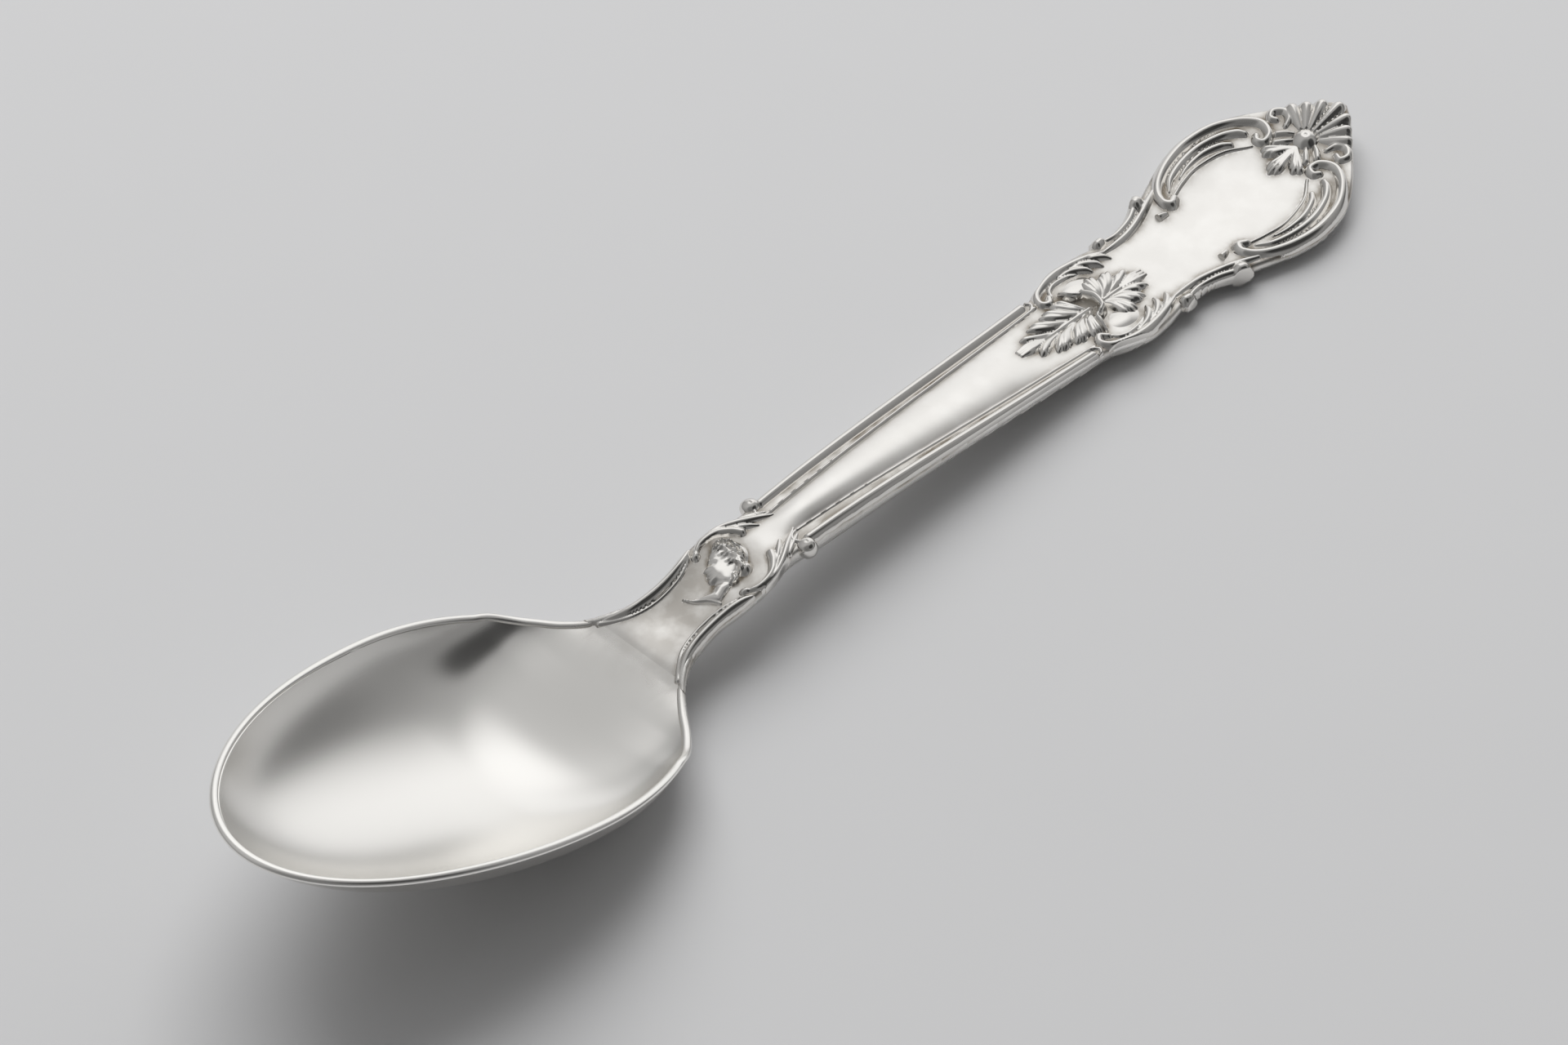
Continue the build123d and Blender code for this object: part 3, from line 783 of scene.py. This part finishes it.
PAIRS = {
    "neck_reed": stroke_height(NECK_REED),
    "neck_leaf": stroke_height(NECK_LEAF),
    "stem_reed": stroke_height(STEM_REED, 0.9),
    "stem_bead": stroke_height(STEM_BEAD, 1.1),
    "waist_scroll": waist_height,
    "shoulder_scroll": stroke_height(SHOULDER_SCROLL),
    "crest_scroll": stroke_height(CREST_SCROLL),
    "panel_bead": stroke_height(PANEL_BEAD, 1.1),
}
SINGLES = {
    "acanthus_tie": stroke_height(TIE, 2.2),
    "acanthus_lower": stroke_height(lower_leaf()),
    "acanthus_upper": stroke_height(upper_leaf()),
    "rosette": rosette_height,
    "palmette": stroke_height(palmette_petals(), 0.9),
    "leaf_tuft": stroke_height(tuft_leaves(), 1.0),
    "cameo_head": head_height,
}
ORNAMENTS = {
    **{name + "_left": height for name, height in PAIRS.items()},
    **{name + "_right": mirrored(height) for name, height in PAIRS.items()},
    **SINGLES,
}


class Relief:
    """All ornaments on one grid over the handle: their heights, and how deep each place lies among them, with
    painted shade on plain silver round the neck.
    """

    def __init__(self, grid):
        self.grid = grid
        self.x = np.arange(-2.0, HANDLE_LENGTH + 1.0, grid)
        self.y = np.arange(-round(GRID_HALF / grid), round(GRID_HALF / grid) + 1) * grid
        self.heights = {}
        total = np.zeros((len(self.x), len(self.y)))
        for name, height in ORNAMENTS.items():
            rows = self.rows(name)
            x, y = np.meshgrid(self.x[rows], self.y, indexing="ij")
            found = height(x, y)
            self.heights[name] = (rows, found)
            total[rows] = np.maximum(total[rows], found)
        self.depth = clamp01((self.blurred(total, CAVITY_REACH) - total + CAVITY_START) / CAVITY_DEEP)
        # Plain silver round the neck gets painted shade in the same mask.
        self.depth = np.maximum(self.depth, neck_painted_shade(self.x)[:, None] * (total < PLAIN))

    def rows(self, node):
        """The rows of the grid that an ornament can reach, from its CAD box."""
        low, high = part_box(node)
        margin = 4.0
        first = np.searchsorted(self.x, (low.x - NECK_X) / METRES - margin)
        last = np.searchsorted(self.x, (high.x - NECK_X) / METRES + margin)
        return slice(first, last)

    def blurred(self, field, radius):
        """A field softened over a radius in millimetres."""
        along = np.fft.fftfreq(field.shape[0], self.grid)[:, None]
        across = np.fft.fftfreq(field.shape[1], self.grid)[None, :]
        keep = np.exp(-2 * (math.pi * radius) ** 2 * (along**2 + across**2))
        return np.fft.ifft2(np.fft.fft2(field) * keep).real

    def cavity_and_shade(self, x, y):
        """How deep places lie among the ornaments, from 0 to 1, with painted shade on plain silver round the
        neck.
        """
        i, j = (
            np.clip(np.rint((place - line[0]) / self.grid).astype(int), 0, len(line) - 1)
            for place, line in ((x, self.x), (y, self.y))
        )
        return self.depth[i, j]


def build_ornament(shape, relief, node, material):
    """One ornament: the part of its height field that stands over the handle, with a skirt sunk into it."""
    rows, height = relief.heights[node]
    x, y = np.meshgrid(relief.x[rows], relief.y, indexing="ij")
    shown = height > -SINK
    corner = shown[:-1, :-1] | shown[1:, :-1] | shown[:-1, 1:] | shown[1:, 1:]
    i, j = np.nonzero(corner)
    cells = [(i, j), (i + 1, j), (i + 1, j + 1), (i, j + 1)]
    used = np.zeros(shown.shape, bool)
    for cell in cells:
        used[cell] = True
    index = np.cumsum(used).reshape(used.shape) - 1
    faces = np.stack([index[cell] for cell in cells], axis=1).tolist()
    bed = top_surface(shape, x[used], y[used])
    edge = half_width(x[used]) + OVERHANG.get(node.rsplit("_", 1)[0], -EDGE_INSET)
    past = np.maximum(0.0, np.abs(y[used]) - edge)
    across = np.sign(y[used]) * (np.abs(y[used]) - past)
    points = np.stack([x[used], across, bed + np.maximum(height[used], -2 * SINK) - past], axis=1)
    edges = dict.fromkeys((a, b) for face in faces for a, b in zip(face, face[1:] + face[:1]))
    rim = [(a, b) for a, b in edges if (b, a) not in edges]
    low = {a: len(points) + n for n, a in enumerate(dict.fromkeys(a for edge in rim for a in edge))}
    skirt = points[list(low)] - np.array((0, 0, SKIRT))
    faces += [(b, a, low[a], low[b]) for a, b in rim]
    points = np.concatenate([points, skirt])
    cavity_and_shade = relief.cavity_and_shade(points[:, 0], points[:, 1])
    return new_piece(node + "_relief", points, faces, node, material, cavity_and_shade)


def build_knop(node, material):
    """A round knop with a curl wound on it, at one side of the stem's foot."""
    low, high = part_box(node)
    centre = ((low + high) / 2 - Vector((NECK_X, 0, 0))) / METRES
    radius = (high.x - low.x) / 2 / METRES
    around, rings = 48, 33
    pole, curl = 0.02, 0.035
    points = []
    for ring in np.linspace(pole, math.pi - pole, rings):
        for turn in np.arange(around) * math.tau / around:
            wave = 1 + curl * math.cos(3 * ring + turn)
            direction = (math.sin(ring) * math.cos(turn), math.sin(ring) * math.sin(turn), math.cos(ring))
            points.append([c + radius * wave * d for c, d in zip(centre, direction)])
    faces = ring_faces(rings, around, (0, rings - 1))
    points = np.array(points)
    # Painted shade: each knop's colour darkens down its lower half, towards the bottom.
    cavity_and_shade = clamp01((centre.z - points[:, 2]) / radius)
    return new_piece(node + "_ball", points, faces, node, material, cavity_and_shade)


def group_tree(name, inputs, outputs):
    """An empty shader node group, with the sockets inside it that bring its inputs and take its outputs."""
    tree = bpy.data.node_groups.new(name, "ShaderNodeTree")
    for label, kind, default in inputs:
        socket = tree.interface.new_socket(name=label, in_out="INPUT", socket_type="NodeSocket" + kind)
        socket.default_value = default
    for label, kind in outputs:
        tree.interface.new_socket(name=label, in_out="OUTPUT", socket_type="NodeSocket" + kind)
    return tree, tree.nodes.new("NodeGroupInput").outputs, tree.nodes.new("NodeGroupOutput").inputs


def add_node(tree, kind, inputs, **settings):
    """The outputs of a new shader node, whose inputs each get a link from a socket or a value."""
    node = tree.nodes.new("ShaderNode" + kind)
    for label, value in settings.items():
        setattr(node, label, value)
    for place, value in inputs.items():
        if isinstance(value, bpy.types.NodeSocket):
            tree.links.new(value, node.inputs[place])
        else:
            node.inputs[place].default_value = value
    return node.outputs


def noise(tree, vector, scale, detail):
    """A noise texture on a vector."""
    return add_node(tree, "TexNoise", {"Vector": vector, "Scale": scale, "Detail": detail})[0]


def ramp(tree, value, low, high, **settings):
    """A value mapped to 0 at low and 1 at high."""
    inputs = {"Value": value, "From Min": low, "From Max": high}
    return add_node(tree, "MapRange", inputs, **settings)["Result"]


def mixed(tree, factor, first, second):
    """Two colours mixed by a factor."""
    return add_node(tree, "Mix", {0: factor, 6: first, 7: second}, data_type="RGBA")[2]


def combined(tree, operation, *values):
    """Sockets and numbers put through a math node."""
    return add_node(tree, "Math", dict(enumerate(values)), operation=operation)[0]


def stretched(tree, vector, scale, turn):
    """A vector scaled along each axis and turned about Z by degrees."""
    rotation = (0, 0, math.radians(turn))
    return add_node(tree, "Mapping", {"Vector": vector, "Scale": scale, "Rotation": rotation})["Vector"]


# How much roughness full scratches and a full mask of patina and painted shade add, and how deep a scratch is
# in metres
SCRATCH_DULLS = 0.1
PATINA_AND_SHADE_DULLS = 0.22
SCRATCH_DEPTH = 0.00002


def wear_and_shade_group():
    """Fine scratches, soft stains, tarnish in recesses and painted shade round the neck and under the knops,
    as a colour, a roughness and a height.
    """
    tree, taken, given = group_tree(
        "Silver wear and shade",
        [
            ("Cavity and shade", "Float", 0.0),
            ("Silver", "Color", (0.9, 0.9, 0.9, 1)),
            ("Tarnish and shade", "Color", (0.3, 0.3, 0.3, 1)),
            ("Polish", "Float", 0.2),
            ("Scratches", "Float", 0.5),
        ],
        [("Color", "Color"), ("Roughness", "Float"), ("Height", "Float")],
    )
    where = add_node(tree, "TexCoord", {})["Object"]
    lines = noise(tree, stretched(tree, where, (40, 1500, 900), 24), 1.0, 1.0)
    marks = noise(tree, stretched(tree, where, (900, 120, 500), -31), 1.0, 2.0)
    stains = noise(tree, where, 420.0, 5.0)
    crossed = combined(tree, "MULTIPLY", ramp(tree, lines, 0.42, 0.72), ramp(tree, marks, 0.38, 0.75))
    scratches = combined(tree, "MULTIPLY", crossed, taken["Scratches"])
    # The patina mask: tarnish in recesses, and painted shade round the neck and under the knops.
    patina_and_shade = combined(tree, "MULTIPLY", taken["Cavity and shade"], ramp(tree, stains, 0.15, 0.6))
    scratched = combined(tree, "MULTIPLY_ADD", scratches, SCRATCH_DULLS, taken["Polish"])
    dulled = combined(tree, "MULTIPLY_ADD", patina_and_shade, PATINA_AND_SHADE_DULLS, scratched)
    colour = mixed(tree, patina_and_shade, taken["Silver"], taken["Tarnish and shade"])
    for socket, label in ((colour, "Color"), (dulled, "Roughness"), (scratches, "Height")):
        tree.links.new(socket, given[label])
    return tree


def silver(name, finish, polish, scratches, bump):
    """Polished silver with its own polish and scratches."""
    material = bpy.data.materials.new(name)
    material.use_nodes = True
    tree = material.node_tree
    shader = tree.nodes["Principled BSDF"].inputs
    shader["Metallic"].default_value = 1.0
    surface_inputs = {
        "Cavity and shade": add_node(tree, "Attribute", {}, attribute_name="cavity_and_shade")["Fac"],
        "Silver": (*finish.silver, 1), "Tarnish and shade": (*finish.tarnish_and_shade, 1),
        "Polish": polish, "Scratches": scratches,
    }
    wear_and_shade = add_node(tree, "Group", surface_inputs, node_tree=bpy.data.node_groups.get("Silver wear and shade") or wear_and_shade_group())
    bumped = {"Strength": bump, "Distance": SCRATCH_DEPTH, "Height": wear_and_shade["Height"]}
    normal = add_node(tree, "Bump", bumped)["Normal"]
    looks = {"Base Color": wear_and_shade["Color"], "Roughness": wear_and_shade["Roughness"], "Normal": normal}
    for label, socket in looks.items():
        tree.links.new(socket, shader[label])
    return material


def ornament_silver(finish):
    """The ornaments' silver, made once."""
    name = "ornament_silver"
    return bpy.data.materials.get(name) or silver(name, finish, finish.polish, scratches=0.3, bump=0.1)


@functools.cache
def relief_on(grid):
    """The ornaments on a grid in millimetres, worked out once."""
    return Relief(grid)


class TEASPOON_OT_bowl(bpy.types.Operator):
    """Build the bowl"""

    bl_idname = "teaspoon.bowl"
    bl_label = "Bowl"

    def execute(self, context):
        scene = context.scene
        finish = scene.spoon_finish
        material = silver("bowl_silver", finish, finish.polish * 0.9, scratches=0.15, bump=0.01)
        build_bowl(scene.spoon_shape, material)
        return {"FINISHED"}


class TEASPOON_OT_handle(bpy.types.Operator):
    """Build the handle"""

    bl_idname = "teaspoon.handle"
    bl_label = "Handle"

    def execute(self, context):
        scene = context.scene
        finish = scene.spoon_finish
        material = silver("handle_silver", finish, finish.polish, scratches=0.4, bump=0.1)
        build_handle(scene.spoon_shape, material, relief_on(spoon_mm(scene.spoon_shape.grid)))
        return {"FINISHED"}


class TEASPOON_OT_knops(bpy.types.Operator):
    """Build the two round knops at the foot of the stem"""

    bl_idname = "teaspoon.knops"
    bl_label = "Knops"

    def execute(self, context):
        for node in ("knop_left", "knop_right"):
            build_knop(node, ornament_silver(context.scene.spoon_finish))
        return {"FINISHED"}


class TEASPOON_OT_scrolls(bpy.types.Operator):
    """Build the reeds, beads and scrolls in pairs along the edges"""

    bl_idname = "teaspoon.scrolls"
    bl_label = "Reeds and scrolls"

    def execute(self, context):
        shape = context.scene.spoon_shape
        relief = relief_on(spoon_mm(shape.grid))
        material = ornament_silver(context.scene.spoon_finish)
        for pair in PAIRS:
            for side in ("_left", "_right"):
                build_ornament(shape, relief, pair + side, material)
        return {"FINISHED"}


class TEASPOON_OT_leaves(bpy.types.Operator):
    """Build the leaves, the rosette and the small head on the middle line"""

    bl_idname = "teaspoon.leaves"
    bl_label = "Leaves and head"

    def execute(self, context):
        shape = context.scene.spoon_shape
        relief = relief_on(spoon_mm(shape.grid))
        material = ornament_silver(context.scene.spoon_finish)
        for node in SINGLES:
            build_ornament(shape, relief, node, material)
        return {"FINISHED"}


# The large soft light: its place and its width, in metres
KEY_PLACE = (0.36, 0.5, 0.8)
KEY_SIZE = 0.9

# Brightness of the room's walls straight overhead
WALLS = 0.42

# Bright patches of the room as (direction, cosine where it fades out, cosine where it is full, brightness)
ROOM_LIGHTS = (
    ((0.53, 0.45, 0.72), 0.84, 0.985, 0.72),
    ((0.81, 0.52, 0.26), 0.66, 0.98, 0.7),
    ((-0.13, 0.75, 0.64), 0.5, 0.98, 0.08),
)
# The dim patches of the room, in the same form
ROOM_SHADES = (
    ((0.16, -0.72, 0.67), 0.85, 0.96, 0.85),
    ((0.94, -0.32, 0.09), 0.93, 0.99, 0.35),
    ((-0.50, -0.46, 0.73), 0.7, 0.95, 0.5),
)


def area_light(name, place, size, power):
    """A square soft light that looks at the spoon and shows in no reflection."""
    lamp = bpy.data.lights.new(name, "AREA")
    lamp.size = size
    lamp.energy = power
    holder = bpy.data.objects.new(name, lamp)
    holder.location = place
    holder.rotation_euler = (-Vector(place)).to_track_quat("-Z", "Y").to_euler()
    holder.visible_glossy = False
    bpy.context.scene.collection.objects.link(holder)


def toward_group():
    """How close a direction lies to another, from 0 where a patch fades out to 1 where it is full."""
    tree, taken, given = group_tree(
        "Room patch",
        [
            ("Direction", "Vector", (0, 0, 1)),
            ("Toward", "Vector", (0, 0, 1)),
            ("Fade", "Float", 0.7),
            ("Full", "Float", 0.99),
        ],
        [("Patch", "Float")],
    )
    pair = {0: taken["Direction"], 1: taken["Toward"]}
    close = add_node(tree, "VectorMath", pair, operation="DOT_PRODUCT")["Value"]
    patch = ramp(tree, close, taken["Fade"], taken["Full"], interpolation_type="SMOOTHSTEP")
    tree.links.new(patch, given["Patch"])
    return tree


def studio_world():
    """A pale room with a large bright window behind the spoon and a dim side at the camera."""
    world = bpy.data.worlds.new("studio")
    world.use_nodes = True
    tree = world.node_tree
    where = add_node(tree, "TexCoord", {})["Generated"]
    height = add_node(tree, "SeparateXYZ", {"Vector": where})["Z"]
    group = toward_group()

    def patch(direction, fade, full, brightness):
        toward = Vector(direction).normalized()
        inputs = {"Direction": where, "Toward": toward, "Fade": fade, "Full": full}
        found = add_node(tree, "Group", inputs, node_tree=group)["Patch"]
        return combined(tree, "MULTIPLY", found, brightness)

    glow = patch(*ROOM_LIGHTS[0])
    for light in ROOM_LIGHTS[1:]:
        glow = combined(tree, "MAXIMUM", glow, patch(*light))
    walls = combined(tree, "MULTIPLY", ramp(tree, height, -1.0, 1.0), WALLS)
    room = combined(tree, "ADD", walls, glow)
    for shade in ROOM_SHADES:
        room = combined(tree, "SUBTRACT", room, combined(tree, "MULTIPLY", room, patch(*shade)))
    tree.links.new(room, tree.nodes["Background"].inputs["Color"])
    bpy.context.scene.world = world


def table_floor(colour):
    """The pale table top under the spoon."""
    mesh = bpy.data.meshes.new("floor")
    reach, grain_dark = 1.5, 0.985
    corners = [(x * reach, y * reach, 0) for x, y in ((-1, -1), (1, -1), (1, 1), (-1, 1))]
    mesh.from_pydata(corners, [], [(0, 1, 2, 3)])
    floor = bpy.data.objects.new("floor", mesh)
    bpy.context.scene.collection.objects.link(floor)
    material = bpy.data.materials.new("floor_paper")
    material.use_nodes = True
    tree = material.node_tree
    shader = tree.nodes["Principled BSDF"].inputs
    shader["Roughness"].default_value = 0.8
    grain = noise(tree, add_node(tree, "TexCoord", {})["Object"], 60.0, 4.0)
    darker = (*[c * grain_dark for c in colour], 1)
    tree.links.new(mixed(tree, grain, darker, (*colour, 1)), shader["Base Color"])
    mesh.materials.append(material)


class TEASPOON_OT_stage(bpy.types.Operator):
    """Set up the camera, the light and the floor"""

    bl_idname = "teaspoon.stage"
    bl_label = "Stage"

    def execute(self, context):
        scene = context.scene
        stage = scene.spoon_stage
        lens = bpy.data.cameras.new("camera")
        lens.lens = stage.lens
        lens.sensor_width = 36.0
        lens.clip_start = 0.01
        camera = bpy.data.objects.new("camera", lens)
        level = math.cos(stage.elevation)
        across, back = math.sin(stage.azimuth) * level, -math.cos(stage.azimuth) * level
        toward = Vector((across, back, math.sin(stage.elevation)))
        camera.location = Vector(stage.aim) + toward * stage.distance
        camera.rotation_euler = (-toward).to_track_quat("-Z", "Y").to_euler()
        scene.collection.objects.link(camera)
        scene.camera = camera
        area_light("key_light", KEY_PLACE, KEY_SIZE, stage.key)
        table_floor(tuple(stage.floor))
        studio_world()
        scene.view_settings.view_transform = "Standard"
        return {"FINISHED"}


class TEASPOON_PT_panel(bpy.types.Panel):
    """The spoon's sizes, finishes and build steps"""

    bl_idname = "TEASPOON_PT_panel"
    bl_label = "Teaspoon"
    bl_space_type = "VIEW_3D"
    bl_region_type = "UI"
    bl_category = "Teaspoon"

    def draw(self, context):
        for group in (context.scene.spoon_shape, context.scene.spoon_finish, context.scene.spoon_stage):
            box = self.layout.box()
            for name in group.__annotations__:
                box.prop(group, name)
        for operator in OPERATORS:
            self.layout.operator(operator.bl_idname)


OPERATORS = (
    TEASPOON_OT_bowl,
    TEASPOON_OT_handle,
    TEASPOON_OT_knops,
    TEASPOON_OT_scrolls,
    TEASPOON_OT_leaves,
    TEASPOON_OT_stage,
)
GROUPS = {"spoon_shape": SpoonShape, "spoon_finish": SpoonFinish, "spoon_stage": SpoonStage}
CLASSES = (*GROUPS.values(), *OPERATORS, TEASPOON_PT_panel)


def register():
    """Register the classes and put the property groups on the scene."""
    for each in CLASSES:
        bpy.utils.register_class(each)
    for name, group in GROUPS.items():
        setattr(bpy.types.Scene, name, PointerProperty(type=group))


def unregister():
    """Take the property groups and classes away again."""
    for name in GROUPS:
        delattr(bpy.types.Scene, name)
    for each in reversed(CLASSES):
        bpy.utils.unregister_class(each)


def main():
    """Build the spoon and its stage."""
    register()
    bpy.ops.teaspoon.bowl()
    bpy.ops.teaspoon.handle()
    bpy.ops.teaspoon.knops()
    bpy.ops.teaspoon.scrolls()
    bpy.ops.teaspoon.leaves()
    bpy.ops.teaspoon.stage()


if __name__ == "__main__":
    main()
